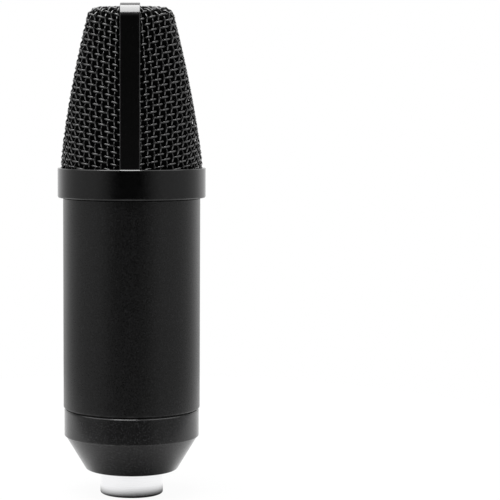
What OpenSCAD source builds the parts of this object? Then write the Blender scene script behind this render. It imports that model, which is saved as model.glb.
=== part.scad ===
// Side-address condenser microphone: head basket, capsule, chassis, circuit board, barrel,
// screw-on end cap and three-pin connector, each piece as its own solid.
// Millimetres. +Z runs up the microphone from the rim of the connector, and the capsule faces +X.

/* [Barrel] */
// Outside diameter of the barrel
barrel_d = 44.5; // [43:0.1:50]
// Wall of the barrel
barrel_wall = 1.8; // [1.4:0.1:2.2]
// Length of the barrel between the end cap and the collar
barrel_len = 68.9; // [64:0.1:110]
// Chamfer on the barrel's outer edges
barrel_edge = 0.45; // [0.2:0.05:0.6]

/* [Collar] */
// How far the collar stands out from the barrel
collar_step = 1.75; // [1.2:0.05:2.4]
// Height of the collar
collar_h = 9.5; // [8.5:0.1:14]
// Rim of the collar round the foot of the basket
collar_rim = 0.9; // [0.7:0.1:1.2]
// Depth of the seat that holds the foot of the basket
collar_seat = 6.5; // [5.5:0.1:7.5]
// Chamfer on the collar's outer edges
collar_edge = 0.3; // [0.2:0.05:0.6]
// Length of the skirt that reaches down inside the barrel
skirt_len = 7.4; // [6.8:0.1:9]
// Wall of the skirt
skirt_wall = 1.7; // [1.5:0.1:2]

/* [Head basket] */
// Height of the basket above the collar
basket_h = 51.1; // [49:0.1:62]
// How much narrower the basket is along the strap than its foot is across it
strap_inset = 0.25; // [0.2:0.05:0.5]
// Half width of the basket's top, between the two slanting faces
basket_top_x = 14.1; // [13.5:0.1:17]
// Radius of the upright edge between a slanting face and the round front
basket_edge = 6; // [4:0.5:8]
// Radius of the basket's top corner
basket_corner = 4; // [3.4:0.1:5]
// Share of the taper that bows outwards
basket_bow = 0.4; // [0:0.05:0.6]
// Thickness of the woven wire, over both layers of wire
weave_t = 1.2; // [1:0.1:1.8]
// Width of a bar between two gaps of the basket
weave_bar = 0.8; // [0.6:0.1:1.2]
// Thickness of the fine inner screen
screen_t = 0.5; // [0.4:0.1:0.7]
// Thickness of the foam liner
foam_t = 2.5; // [2:0.1:3]
// Width of the strap over the basket
strap_w = 6.4; // [5:0.1:9]
// Thickness of the strap
strap_t = 1; // [0.8:0.1:1.3]
// Height of the ring that holds the basket's foot
ring_h = 3.5; // [3:0.1:5]
// Wall of that ring
ring_wall = 1.4; // [1:0.1:1.8]

/* [End cap] */
// How far the end cap sits in from the barrel's surface
cap_step = 0.26; // [0.1:0.02:0.4]
// Height of the end cap's straight band
cap_band_h = 8.9; // [8:0.1:12]
// Height of the end cap's cone
cap_cone_h = 11.1; // [9:0.1:15]
// Step from the band in to the cone
cap_shoulder = 0.35; // [0.2:0.05:0.6]
// Radius of the cone's small end
cap_tip_r = 15.4; // [14.5:0.1:17]
// Rounding of the cone's small end
cap_round = 0.8; // [0.4:0.1:1]
// Thickness of the end cap's cone and floor
cap_wall = 2; // [1.5:0.1:2.4]
// Chamfer on the end cap's top edge
cap_edge = 0.5; // [0.2:0.05:0.7]
// Length of thread that the end cap holds by
thread_len = 6; // [5:0.5:7]

/* [Connector] */
// Outside diameter of the connector shell
shell_d = 20.5; // [19:0.1:22]
// Length of the shell that shows under the end cap
shell_reach = 8.1; // [7:0.1:12]
// Diameter of the socket
socket_d = 16; // [15.6:0.1:16.2]
// Depth of the socket
socket_depth = 15.5; // [15:0.1:16.5]
// Chamfer on the shell's rim
shell_edge = 0.6; // [0.3:0.1:0.8]
// Diameter of a contact pin
pin_d = 2.4; // [2.2:0.1:2.6]
// Radius of the circle that the contact pins stand on
pin_circle_r = 3.97; // [3.8:0.01:4.2]
// How far the pin tips sit inside the rim
pin_recess = 1.8; // [1:0.1:3]
// Thickness of the insulating insert
insert_t = 5; // [4:0.1:6]

/* [Chassis and board] */
// Thickness of the plate under the basket
top_plate_t = 4.6; // [4:0.1:5]
// Height of the base plate above its thread
base_rise = 1.9; // [1.5:0.1:3]
// Thickness of a rail, across the microphone
rail_t = 5; // [4.5:0.1:6]
// Width of a rail, from front to back
rail_w = 7; // [6:0.1:8]
// Thickness of the circuit board
board_t = 1.6; // [1.2:0.1:2]
// Space left at each end of the circuit board
board_margin = 4; // [4:0.1:6]

/* [Capsule] */
// Diameter of the capsule
capsule_d = 25; // [22:0.5:27]
// Height of the capsule's axis above the collar
capsule_rise = 26; // [24:0.5:30]
// Depth of the capsule housing
capsule_depth = 8; // [7:0.5:10]
// Thickness of the perforated back plate
backplate_t = 1.6; // [1.2:0.1:2]
// Thickness of the diaphragm as drawn
diaphragm_t = 0.1; // [0.05:0.05:0.2]
// Thickness of the insulating ring behind the back plate
insulator_t = 1.9; // [1.5:0.1:2.2]
// Width of the rim that the capsule's layers are held by
layer_land = 1.3; // [1:0.1:2]
// Height of the rubber isolator
isolator_t = 2; // [1.5:0.1:3]

/* [Board parts] */
// Diameter of an electrolytic capacitor
can_d = 6.3; // [5:0.1:6.5]
// Height of an electrolytic capacitor off the board
can_h = 11; // [9:0.5:12]
// Spacing of the electrolytic capacitors
can_pitch = 8.4; // [7.5:0.1:8.6]
// Level of the electrolytic capacitors above the board's foot
can_row = 8; // [7:0.5:10]
// Length of a film capacitor
film_len = 7.2; // [6:0.1:8]
// Thickness of a film capacitor
film_t = 3; // [2.5:0.1:4]
// Height of a film capacitor off the board
film_h = 6.5; // [5:0.1:7.5]
// Distance of a film capacitor from the board's middle line
film_x = 6; // [5:0.1:7]
// Level of the film capacitors above the board's foot
film_row = 20; // [17:0.5:22]
// Diameter of a transistor's body
transistor_d = 4.6; // [4:0.1:5]
// Height of a transistor's body
transistor_h = 4.6; // [4:0.1:5.5]
// Spacing of the transistors
transistor_pitch = 8; // [6:0.1:8.5]
// Level of the transistors above the board's foot
transistor_row = 31; // [29:0.5:32]
// Diameter of a resistor's body
resistor_d = 1.9; // [1.6:0.1:2.4]
// Length of a resistor's body
resistor_len = 6; // [5:0.1:6.5]
// Distance between the bent ends of a resistor's leads
resistor_span = 9; // [8:0.1:10]
// Distance of a resistor from the board's middle line
resistor_x = 6.5; // [6:0.1:7]
// Spacing of the rows of resistors
resistor_pitch = 3; // [2.7:0.1:3.2]
// Level of the lowest row of resistors above the board's foot
resistor_row = 36.5; // [36:0.5:38]

/* [Hidden] */
$fn = 96;

// Clearance round a piece that is held in its seat
fit = 0.1;
// Clearance between curved faces that slide or are drawn with flats
slip = 0.3;
// Clearance of the end cap's thread
thread_clear = 0.15;

// Levels up the microphone, from the connector's rim
z_cap = shell_reach;
z_band = z_cap + cap_cone_h;
z_barrel = z_band + cap_band_h;
z_collar = z_barrel + barrel_len;
z_basket = z_collar + collar_h;
z_seat = z_basket - collar_seat;
z_top = z_basket + basket_h;
z_skirt = z_collar - skirt_len;
z_base = z_barrel - thread_len;
z_base_top = z_barrel + base_rise;
skirt_lap = 0.4;
z_plate = z_skirt + skirt_lap;
z_plate_top = z_plate + top_plate_t;
z_capsule = z_basket + capsule_rise;
z_board = z_base_top + board_margin;
z_board_top = z_plate - board_margin;

// Radii
barrel_r = barrel_d / 2;
barrel_bore_r = barrel_r - barrel_wall;
collar_r = barrel_r + collar_step;
seat_r = collar_r - collar_rim;
basket_r = seat_r - fit;
basket_y = basket_r - strap_inset;
skirt_r = barrel_bore_r - slip;
skirt_bore_r = skirt_r - skirt_wall;
plate_r = skirt_bore_r - fit;
base_r = barrel_bore_r - slip;
cap_r = barrel_r - cap_step;
cap_bore_r = base_r + thread_clear;
shell_r = shell_d / 2;
shell_gap = 0.35;
cap_hole_r = shell_r + shell_gap;
socket_r = socket_d / 2;
insert_step = 0.8;
insert_bore_r = socket_r + insert_step;
shell_flange_r = shell_r + 1.75;
shell_flange_t = 1.5;
pin_r = pin_d / 2;

// Screws
screw_r = 1;
screw_head_r = 1.9;
screw_head_t = 1.4;
screw_depth = 6;
big_screw_r = 1.25;
big_head_r = 2.3;

// The layers of the basket, each as an inset from its outside
weave_in = 0;
screen_in = weave_in + weave_t + slip;
foam_in = screen_in + screen_t + slip;
ring_r = basket_y - foam_in;
seam = 0.4;
strap_gap = 0.05;

// Rows and columns of gaps in each half of the basket
weave_columns = 16;
weave_side_rows = 11;
weave_corner_rows = 2;
weave_top_rows = 3;

// Colours
black_coat = [0.09, 0.09, 0.095];
black_wire = [0.12, 0.12, 0.125];
bright_metal = [0.82, 0.82, 0.83];
zinc = [0.62, 0.62, 0.6];
brass = [0.78, 0.62, 0.3];
gold = [0.88, 0.72, 0.32];
steel = [0.6, 0.6, 0.62];
plastic = [0.13, 0.13, 0.14];
rubber = [0.07, 0.07, 0.07];
foam = [0.05, 0.05, 0.05];
board_green = [0.08, 0.3, 0.16];

// Shapes that repeat

// A screw along +Z from its head's underside at the origin, with the shank below.
module pan_screw(shank_r, head_r, head_t, length) {
  cylinder(r = head_r, h = head_t);
  translate([0, 0, -length]) cylinder(r = shank_r, h = length + head_t / 2);
}

// A straight run of wire between two points.
module wire_run(from, to, r) {
  d = to - from;
  run = norm(d);
  translate(from) rotate([0, acos(d.z / run), atan2(d.y, d.x)]) cylinder(r = r, h = run);
}

// A bent wire whose runs are square to each other, with round elbows.
module bent_wire(points, r) {
  for (k = [0 : len(points) - 2]) wire_run(points[k], points[k + 1], r);
  for (k = [1 : len(points) - 2]) translate(points[k]) sphere(r = r);
}

// An insulated lead along a list of points, drawn with flats.
module lead(points, r) {
  around = 10;
  last = len(points) - 1;
  lean = [0.2, 1, 0.1];
  function unit(v) = v / norm(v);
  function heading(k) =
    let (before = max(k - 1, 0), after = min(k + 1, last))
    unit(unit(points[min(before + 1, last)] - points[before]) + unit(points[after] - points[max(after - 1, 0)]));
  rings = [
    for (k = [0 : last])
      let (along = heading(k), out = unit(cross(lean, along)), up = cross(along, out))
      for (i = [0 : around - 1])
        points[k] + r * (out * cos(360 * i / around) + up * sin(360 * i / around))
  ];
  function at(k, i) = k * around + i % around;
  sides = [
    for (k = [0 : last - 1], i = [0 : around - 1])
      [at(k, i), at(k + 1, i), at(k + 1, i + 1), at(k, i + 1)]
  ];
  start = [[for (i = [0 : around - 1]) at(0, i)]];
  end = [[for (i = [around - 1 : -1 : 0]) at(last, i)]];
  polyhedron(rings, concat(triangles(sides), start, end));
}

// Lays a shape that was drawn along +Z along +X at the capsule's height.
module along_capsule() {
  translate([0, 0, z_capsule]) rotate([0, 90, 0]) children();
}

// The shape of the basket

// The slanting face's distance from the middle at height z.
function face_half(z, z_corner) =
  let (t = max(0, (z - z_basket) / (z_corner - z_basket)))
  basket_r - (basket_r - basket_top_x) * ((1 - basket_bow) * t + basket_bow * t * t);

// One ring of the basket, inset by a wall: a circle that the two faces cut, with rounded edges. It is
// [the faces' distance from the middle, radius of the circle, height, radius of the edges].
function side_station(z, inset, z_corner) = [
  face_half(z, z_corner) - inset,
  basket_r - inset,
  z,
  max(basket_edge - inset, least_edge),
];

function corner_station(turn, inset, r) =
  let (pull = inset + r * (1 - cos(turn)))
  [basket_top_x - pull, basket_r - pull, z_top - inset - r * (1 - sin(turn)), max(basket_edge - pull, least_edge)];

function top_station(share, inset, r, last) =
  let (flat = basket_top_x - inset - r, half = flat + (last - flat) * share, pull = basket_top_x - half)
  [half, basket_r - pull, z_top - inset, max(basket_edge - pull, least_edge)];
least_edge = 0.3;

// A quarter of a ring runs along the face, round the edge and along the circle to the strap.
// It is [length of the face, angle of the edge, length of the edge, length of the circle].
function quarter(s) =
  let (
    face = sqrt(max(0, pow(s[1] - s[3], 2) - pow(s[0] - s[3], 2))),
    bend = atan2(face, s[0] - s[3])
  ) [face, bend, s[3] * bend * PI / 180, s[1] * (90 - bend) * PI / 180];

// The point of a ring at a distance along that quarter, on the side that sign gives. The edge counts as
// longer than it is, so that more of the points fall on it.
function ring_point(s, along, sign) =
  let (
    q = quarter(s),
    on_edge = (along - q[0]) / edge_weight / s[3] * 180 / PI,
    on_circle = q[1] + (along - q[0] - q[2] * edge_weight) / s[1] * 180 / PI,
    flat = along <= q[0] ? [s[0], along]
      : along <= q[0] + q[2] * edge_weight ? [s[0] - s[3] + s[3] * cos(on_edge), q[0] + s[3] * sin(on_edge)]
      : [s[1] * cos(on_circle), s[1] * sin(on_circle)]
  ) [flat[0], sign * flat[1] * basket_y / basket_r, s[2]];
function quarter_length(s) = let (q = quarter(s)) q[0] + q[2] * edge_weight + q[3];
edge_weight = 2;

// The point at a share of the whole ring, from the middle of the +X face.
function loop_point(s, share) =
  let (
    turn = share * 4,
    back = turn > 1 && turn < 3,
    part = turn <= 1 ? turn : turn <= 2 ? 2 - turn : turn <= 3 ? turn - 2 : 4 - turn,
    p = ring_point(s, part * quarter_length(s), turn < 2 ? 1 : -1)
  ) [back ? -p[0] : p[0], p[1], p[2]];

// Rings from the foot at z_foot to the middle of the top.
function stations(inset, z_foot, side_rows, corner_rows, top_rows, last) =
  let (
    least_corner = 0.8,
    r = max(basket_corner - inset, least_corner),
    z_corner = z_top - inset - r,
    z_side = max(z_foot, z_basket)
  ) [
    if (z_foot < z_basket) side_station(z_foot, inset, z_corner),
    for (k = [0 : side_rows]) side_station(z_side + (z_corner - z_side) * k / side_rows, inset, z_corner),
    for (k = [1 : corner_rows]) corner_station(90 * k / corner_rows, inset, r),
    for (k = [1 : top_rows]) top_station(k / top_rows, inset, r, last),
  ];

function halves(quad) = [[quad[0], quad[1], quad[2]], [quad[0], quad[2], quad[3]]];
function triangles(quads) = [for (quad = quads, triangle = halves(quad)) triangle];
function flip(quads) = [for (quad = quads) [quad[3], quad[2], quad[1], quad[0]]];

// A closed dome between two insets, open at its foot.
module dome(inset, wall, z_foot, around, side_rows, corner_rows, top_rows) {
  outer = stations(inset, z_foot, side_rows, corner_rows, top_rows, 1);
  inner = stations(inset + wall, z_foot, side_rows, corner_rows, top_rows, 1);
  rows = len(outer);
  ring_points = [for (s = concat(outer, inner), i = [0 : around - 1]) loop_point(s, i / around)];
  points = concat(ring_points, [[0, 0, outer[rows - 1][2]], [0, 0, inner[rows - 1][2]]]);
  function at(row, i) = row * around + i % around;
  wall_quads = [
    for (s = [0 : rows - 2], i = [0 : around - 1])
      [at(s, i), at(s + 1, i), at(s + 1, i + 1), at(s, i + 1)]
  ];
  lining_quads = [
    for (s = [rows : 2 * rows - 2], i = [0 : around - 1])
      [at(s, i + 1), at(s + 1, i + 1), at(s + 1, i), at(s, i)]
  ];
  foot_quads = [for (i = [0 : around - 1]) [at(0, i), at(0, i + 1), at(rows, i + 1), at(rows, i)]];
  crown = [for (i = [0 : around - 1]) [at(rows - 1, i), 2 * rows * around, at(rows - 1, i + 1)]];
  ceiling = [
    for (i = [0 : around - 1]) [at(2 * rows - 1, i + 1), 2 * rows * around + 1, at(2 * rows - 1, i)]
  ];
  polyhedron(points, concat(triangles(concat(wall_quads, lining_quads, foot_quads)), crown, ceiling));
}

// One half of the basket, which faces +X: a shell with a gap in every cell above its plain foot.
module weave_half() {
  last = 2 * seam;
  outer = stations(weave_in, z_seat, weave_side_rows, weave_corner_rows, weave_top_rows, last);
  inner = stations(weave_in + weave_t, z_seat, weave_side_rows, weave_corner_rows, weave_top_rows, last);
  rows = len(outer) - 1;
  columns = weave_columns;
  grid = (rows + 1) * (columns + 1);
  cell_w = PI * basket_r / columns;
  bar = weave_bar / cell_w / 2;

  function spot(s, i) =
    let (reach = quarter_length(s) - s[1] * asin(seam / s[1]) * PI / 180, share = 2 * i / columns - 1)
    ring_point(s, reach * abs(share), share < 0 ? -1 : 1);
  outer_grid = [for (s = outer, i = [0 : columns]) spot(s, i)];
  inner_grid = [for (s = inner, i = [0 : columns]) spot(s, i)];
  function at(s, i) = s * (columns + 1) + i;
  function blend(points, s, i, u, v) =
    points[at(s, i)] * (1 - u) * (1 - v) + points[at(s, i + 1)] * u * (1 - v)
    + points[at(s + 1, i + 1)] * u * v + points[at(s + 1, i)] * (1 - u) * v;
  hole_corners = [[bar, bar], [1 - bar, bar], [1 - bar, 1 - bar], [bar, 1 - bar]];
  holes = [
    for (s = [1 : rows - 1], i = [0 : columns - 1], layer = [outer_grid, inner_grid], c = hole_corners)
      blend(layer, s, i, c[0], c[1])
  ];
  function hole(s, i, layer, c) = 2 * grid + (((s - 1) * columns + i) * 2 + layer) * 4 + c % 4;
  function corner(s, i, c) = at(s + (c % 4 > 1 ? 1 : 0), i + (c % 4 == 1 || c % 4 == 2 ? 1 : 0));

  foot_quads = [
    for (i = [0 : columns - 1]) [corner(0, i, 0), corner(0, i, 3), corner(0, i, 2), corner(0, i, 1)]
  ];
  cell_quads = [
    for (s = [1 : rows - 1], i = [0 : columns - 1], c = [0 : 3])
      [corner(s, i, c), hole(s, i, 0, c), hole(s, i, 0, c + 1), corner(s, i, c + 1)]
  ];
  lining_quads = concat(
    [for (q = flip(foot_quads)) [for (p = q) p + grid]],
    [
      for (s = [1 : rows - 1], i = [0 : columns - 1], c = [0 : 3]) [
        grid + corner(s, i, c + 1), hole(s, i, 1, c + 1), hole(s, i, 1, c), grid + corner(s, i, c),
      ]
    ]
  );
  hole_quads = [
    for (s = [1 : rows - 1], i = [0 : columns - 1], c = [0 : 3])
      [hole(s, i, 0, c), hole(s, i, 1, c), hole(s, i, 1, c + 1), hole(s, i, 0, c + 1)]
  ];
  rim = concat(
    [for (i = [0 : columns - 1]) [at(0, i), at(0, i + 1)]],
    [for (s = [0 : rows - 1]) [at(s, columns), at(s + 1, columns)]],
    [for (i = [columns : -1 : 1]) [at(rows, i), at(rows, i - 1)]],
    [for (s = [rows : -1 : 1]) [at(s, 0), at(s - 1, 0)]]
  );
  rim_quads = [for (e = rim) [e[0], e[1], e[1] + grid, e[0] + grid]];
  polyhedron(
    concat(outer_grid, inner_grid, holes),
    triangles(concat(foot_quads, cell_quads, lining_quads, hole_quads, rim_quads))
  );
}

// Outside pieces

module barrel() {
  color(black_coat)
    rotate_extrude() polygon([
      [barrel_bore_r, z_barrel],
      [barrel_r - barrel_edge, z_barrel],
      [barrel_r, z_barrel + barrel_edge],
      [barrel_r, z_collar - barrel_edge],
      [barrel_r - barrel_edge, z_collar],
      [barrel_bore_r, z_collar],
    ]);
}

// The end cap: a band that carries the thread, and a cone down to the connector.
module end_cap() {
  lean = atan2(cap_r - cap_shoulder - cap_tip_r, cap_cone_h);
  inside_r = cap_tip_r - cap_wall / cos(lean);
  thread_relief = 0.6;
  round_steps = 6;
  tip_round = [
    for (k = [0 : round_steps])
      let (turn = -90 + (90 - lean) * k / round_steps)
      [
        cap_tip_r - cap_round * tan(45 - lean / 2) + cap_round * cos(turn),
        z_cap + cap_round + cap_round * sin(turn),
      ]
  ];
  color(black_coat)
    rotate_extrude() polygon(concat(
      [[cap_hole_r, z_cap]],
      tip_round,
      [
        [cap_r - cap_shoulder, z_band],
        [cap_r, z_band],
        [cap_r, z_barrel - cap_edge],
        [cap_r - cap_edge, z_barrel],
        [cap_bore_r, z_barrel],
        [cap_bore_r, z_base - thread_relief],
        [inside_r, z_cap + cap_wall],
        [cap_hole_r, z_cap + cap_wall],
      ]
    ));
}

module head_collar() {
  z_screw = (z_plate + z_plate_top) / 2;
  color(black_coat)
    difference() {
      rotate_extrude() polygon([
        [skirt_bore_r, z_skirt],
        [skirt_r, z_skirt],
        [skirt_r, z_collar],
        [collar_r - collar_edge, z_collar],
        [collar_r, z_collar + collar_edge],
        [collar_r, z_basket - collar_edge],
        [collar_r - collar_edge, z_basket],
        [seat_r, z_basket],
        [seat_r, z_seat],
        [skirt_bore_r, z_seat],
      ]);
      for (side = [-1, 1])
        translate([0, 0, z_screw]) rotate([-90 * side, 0, 0]) {
          cylinder(r = big_screw_r + fit, h = skirt_r + 1);
          translate([0, 0, skirt_r - head_sink]) cylinder(r1 = big_screw_r + fit, r2 = big_head_r + fit, h = head_sink);
          translate([0, 0, skirt_r - fit]) cylinder(r = big_head_r + fit, h = 1);
        }
    }
}
head_sink = 1.1;

module grille_right() {
  color(black_wire) weave_half();
}

module grille_left() {
  color(black_wire) mirror([1, 0, 0]) weave_half();
}

// The strap from the front of the collar, over the basket, to the back of the collar.
module grille_strap() {
  corner_steps = 8;
  z_corner = z_top - basket_corner;
  function edge(out) = concat(
    [[basket_y + out, z_basket]],
    [
      for (k = [0 : corner_steps])
        let (turn = 90 * k / corner_steps, r = basket_corner + out)
        [basket_y - basket_corner + r * cos(turn), z_corner + r * sin(turn)]
    ]
  );
  function whole(out) =
    let (side = edge(out))
    concat(side, [for (k = [len(side) - 1 : -1 : 0]) [-side[k][0], side[k][1]]]);
  outside = whole(strap_gap + strap_t);
  inside = whole(strap_gap);
  color(black_coat)
    translate([-strap_w / 2, 0, 0]) rotate([90, 0, 90]) linear_extrude(strap_w)
      polygon(concat(outside, [for (k = [len(inside) - 1 : -1 : 0]) inside[k]]));
}

module inner_screen() {
  color(black_wire) dome(screen_in, screen_t, z_seat, 2 * weave_columns, 11, 2, 2);
}

module foam_liner() {
  color(foam) dome(foam_in, foam_t, z_seat + ring_h + fit, 2 * weave_columns, 8, 2, 2);
}

module retaining_ring() {
  color(zinc)
    translate([0, 0, z_seat]) difference() {
      cylinder(r = ring_r, h = ring_h);
      translate([0, 0, -1]) cylinder(r = ring_r - ring_wall, h = ring_h + 2);
    }
}

// Two countersunk screws that hold the collar to the plate under the basket.
module head_screws() {
  reach = 5;
  z_screw = (z_plate + z_plate_top) / 2;
  color(steel)
    for (side = [-1, 1])
      translate([0, 0, z_screw]) rotate([-90 * side, 0, 0]) {
        translate([0, 0, skirt_r - reach]) cylinder(r = big_screw_r, h = reach - head_sink);
        translate([0, 0, skirt_r - head_sink]) cylinder(r1 = big_screw_r, r2 = big_head_r, h = head_sink - fit);
      }
}

// Chassis

rail_x = plate_r - rail_t / 2 - 0.5;
pedestal_flange_r = 11;
pedestal_screw_y = 8.4;
lead_r = 0.6;
lead_hole_r = 1.2;
lead_circle_r = 14;
lead_turns = [118, 138];

module top_plate() {
  z_screw = (z_plate + z_plate_top) / 2;
  tapped = 5.5;
  color(zinc)
    difference() {
      translate([0, 0, z_plate]) cylinder(r = plate_r, h = top_plate_t);
      for (side = [-1, 1]) {
        translate([side * rail_x, 0, z_plate - 1]) cylinder(r = screw_r + fit, h = top_plate_t + 2);
        translate([0, side * pedestal_screw_y, z_plate - 1]) cylinder(r = screw_r + fit, h = top_plate_t + 2);
        translate([0, 0, z_screw]) rotate([-90 * side, 0, 0])
          translate([0, 0, skirt_r - tapped]) cylinder(r = big_screw_r + fit, h = tapped);
      }
      for (turn = lead_turns)
        rotate(turn) translate([lead_circle_r, 0, z_plate - 1]) cylinder(r = lead_hole_r, h = top_plate_t + 2);
    }
}

// A rail between the two plates, at the side of the microphone that side gives.
module rail(side) {
  color(zinc)
    difference() {
      translate([side * rail_x - rail_t / 2, -rail_w / 2, z_base_top])
        cube([rail_t, rail_w, z_plate - z_base_top]);
      for (z = [z_base_top - 1, z_plate - screw_depth - fit])
        translate([side * rail_x, 0, z]) cylinder(r = screw_r + fit, h = screw_depth + fit + 1);
      for (z = board_screw_z)
        translate([side * rail_x, rail_w / 2 + 1, z]) rotate([90, 0, 0])
          cylinder(r = screw_r + fit, h = board_screw_depth + fit + 1);
    }
}

module left_rail() {
  rail(-1);
}

module right_rail() {
  rail(1);
}

// The base plate that the end cap screws on to, with the connector shell in its bore.
module base_plate() {
  set_screw_z = (z_base + z_base_top) / 2;
  color(zinc)
    difference() {
      translate([0, 0, z_base]) cylinder(r = base_r, h = z_base_top - z_base);
      translate([0, 0, z_base - 1]) cylinder(r = shell_r + fit, h = z_base_top - z_base + 2);
      for (side = [-1, 1]) {
        translate([side * rail_x, 0, z_base - 1]) cylinder(r = screw_r + fit, h = z_base_top - z_base + 2);
        translate([side * rail_x, 0, z_base - 1]) cylinder(r = screw_head_r + fit, h = screw_head_t + fit + 1);
        translate([0, 0, set_screw_z]) rotate([-90 * side, 0, 0])
          cylinder(r = big_screw_r + fit, h = base_r + 1);
      }
    }
}

// Screws down through the top plate and up through the base plate into the rails.
module rail_screws() {
  plate_here = z_base_top - z_base - screw_head_t - fit;
  color(steel)
    for (side = [-1, 1]) {
      translate([side * rail_x, 0, z_plate_top])
        pan_screw(screw_r, screw_head_r, screw_head_t, top_plate_t + screw_depth);
      translate([side * rail_x, 0, z_base + screw_head_t + fit]) rotate([180, 0, 0])
        pan_screw(screw_r, screw_head_r, screw_head_t, plate_here + screw_depth);
    }
}

// Capsule and its stand

module rubber_isolator() {
  color(rubber)
    translate([0, 0, z_plate_top]) difference() {
      cylinder(r = pedestal_flange_r, h = isolator_t);
      for (side = [-1, 1])
        translate([0, side * pedestal_screw_y, -1]) cylinder(r = screw_r + fit, h = isolator_t + 2);
    }
}

flange_t = 2.4;
capsule_r = capsule_d / 2;
capsule_back = -capsule_depth + 2.5;
capsule_front = capsule_back + capsule_depth;
capsule_wall = 1.5;
capsule_floor = 2;
cradle_t = 1.6;
cradle_w = 5;

module capsule_pedestal() {
  z_flange = z_plate_top + isolator_t;
  column_r = 4.5;
  hug = 215;
  color(plastic)
    difference() {
      union() {
        translate([0, 0, z_flange]) cylinder(r = pedestal_flange_r, h = flange_t);
        translate([0, 0, z_flange]) cylinder(r = column_r, h = z_capsule - capsule_r / 2 - z_flange);
        along_capsule() translate([0, 0, capsule_back + 0.5]) rotate(-hug / 2)
          rotate_extrude(angle = hug) translate([capsule_r - cradle_t, 0]) square([2 * cradle_t + fit, cradle_w]);
      }
      along_capsule() translate([0, 0, capsule_back - 5]) cylinder(r = capsule_r + fit, h = capsule_depth + 10);
      for (side = [-1, 1])
        translate([0, side * pedestal_screw_y, z_flange - 1]) cylinder(r = screw_r + fit, h = flange_t + 2);
    }
}

module pedestal_screws() {
  bite = 4;
  color(steel)
    for (side = [-1, 1])
      translate([0, side * pedestal_screw_y, z_plate_top + isolator_t + flange_t])
        pan_screw(screw_r, screw_head_r, screw_head_t, flange_t + isolator_t + bite);
}

// The capsule's layers, front to back along +X: clamp, diaphragm, spacer, back plate, insulator, housing.
layer_r = capsule_r - capsule_wall - fit;
layer_open_r = layer_r - layer_land;
spacer_t = 0.2;
w_floor = capsule_back + capsule_floor;
w_plate = w_floor + insulator_t;
w_spacer = w_plate + backplate_t;
w_film = w_spacer + spacer_t;
w_clamp = w_film + diaphragm_t;
clamp_screw_r = 0.45;
clamp_screw_count = 6;
clamp_screw_depth = 3;
clamp_flange_t = 1.2;
clamp_circle_r = capsule_r - capsule_wall / 2;

module clamp_circle() {
  for (k = [0 : clamp_screw_count - 1])
    rotate(360 * (k + 0.5) / clamp_screw_count) translate([clamp_circle_r, 0, 0]) children();
}

module capsule_housing() {
  vent_circle_r = 6;
  vent_r = 0.8;
  vent_count = 6;
  color(brass)
    along_capsule() difference() {
      translate([0, 0, capsule_back]) cylinder(r = capsule_r, h = capsule_depth);
      translate([0, 0, w_floor]) cylinder(r = capsule_r - capsule_wall, h = capsule_depth);
      for (k = [0 : vent_count - 1])
        rotate(360 * k / vent_count) translate([vent_circle_r, 0, capsule_back - 1])
          cylinder(r = vent_r, h = capsule_floor + 2);
      clamp_circle() translate([0, 0, capsule_front - clamp_screw_depth - fit])
        cylinder(r = clamp_screw_r + 0.05, h = clamp_screw_depth + 1);
    }
}

// A flat ring between two radii, from one level along the capsule to another.
module washer(r, open_r, from, to) {
  translate([0, 0, from]) difference() {
    cylinder(r = r, h = to - from);
    translate([0, 0, -1]) cylinder(r = open_r, h = to - from + 2);
  }
}

module capsule_insulator() {
  color(plastic) along_capsule() washer(layer_r, layer_open_r, w_floor, w_plate);
}

module backplate() {
  hole_r = 0.5;
  rings = [[0, 1], [3.2, 6], [6.4, 12]];
  color(brass)
    along_capsule() difference() {
      translate([0, 0, w_plate]) cylinder(r = layer_r, h = backplate_t);
      for (ring = rings, k = [0 : ring[1] - 1])
        rotate(360 * k / ring[1]) translate([ring[0], 0, w_plate - 1]) cylinder(r = hole_r, h = backplate_t + 2);
    }
}

module diaphragm_spacer() {
  color(plastic) along_capsule() washer(layer_r, layer_open_r, w_spacer, w_film);
}

module diaphragm() {
  color(gold) along_capsule() translate([0, 0, w_film]) cylinder(r = layer_r, h = diaphragm_t);
}

module diaphragm_clamp() {
  color(brass)
    along_capsule() difference() {
      union() {
        washer(layer_r, layer_open_r, w_clamp, capsule_front + clamp_flange_t);
        washer(capsule_r, layer_open_r, capsule_front, capsule_front + clamp_flange_t);
      }
      clamp_circle() translate([0, 0, capsule_front - 1])
        cylinder(r = clamp_screw_r + 0.05, h = clamp_flange_t + 2);
    }
}

module clamp_screws() {
  head_r = 0.7;
  head_t = 0.5;
  color(steel)
    along_capsule() clamp_circle() translate([0, 0, capsule_front + clamp_flange_t])
      pan_screw(clamp_screw_r, head_r, head_t, clamp_flange_t + clamp_screw_depth);
}

// One lead from the back of the capsule, down through the top plate to the back of the board.
module capsule_lead(k) {
  x = lead_circle_r * cos(lead_turns[k]);
  y = lead_circle_r * sin(lead_turns[k]);
  start_y = 2 + 2.5 * k;
  lead([
    [capsule_back - 0.1, start_y, z_capsule],
    [capsule_back - 2.5, start_y, z_capsule],
    [x, y, z_plate_top + 9],
    [x, y, z_plate - 2],
    [x + 2, board_lead_y, z_board_top - 2],
    [x + 2, board_lead_y, z_board_top - 7],
  ], lead_r);
}

module capsule_leads() {
  color(rubber) for (k = [0 : 1]) capsule_lead(k);
}

// Circuit board and its parts

board_w = 2 * (rail_x + rail_t / 2);
board_screw_depth = 5;
board_screw_z = [z_board + 4, z_board_top - 4];
board_face = rail_w / 2;
board_lead_y = board_face + board_t + lead_r + 0.05;

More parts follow.
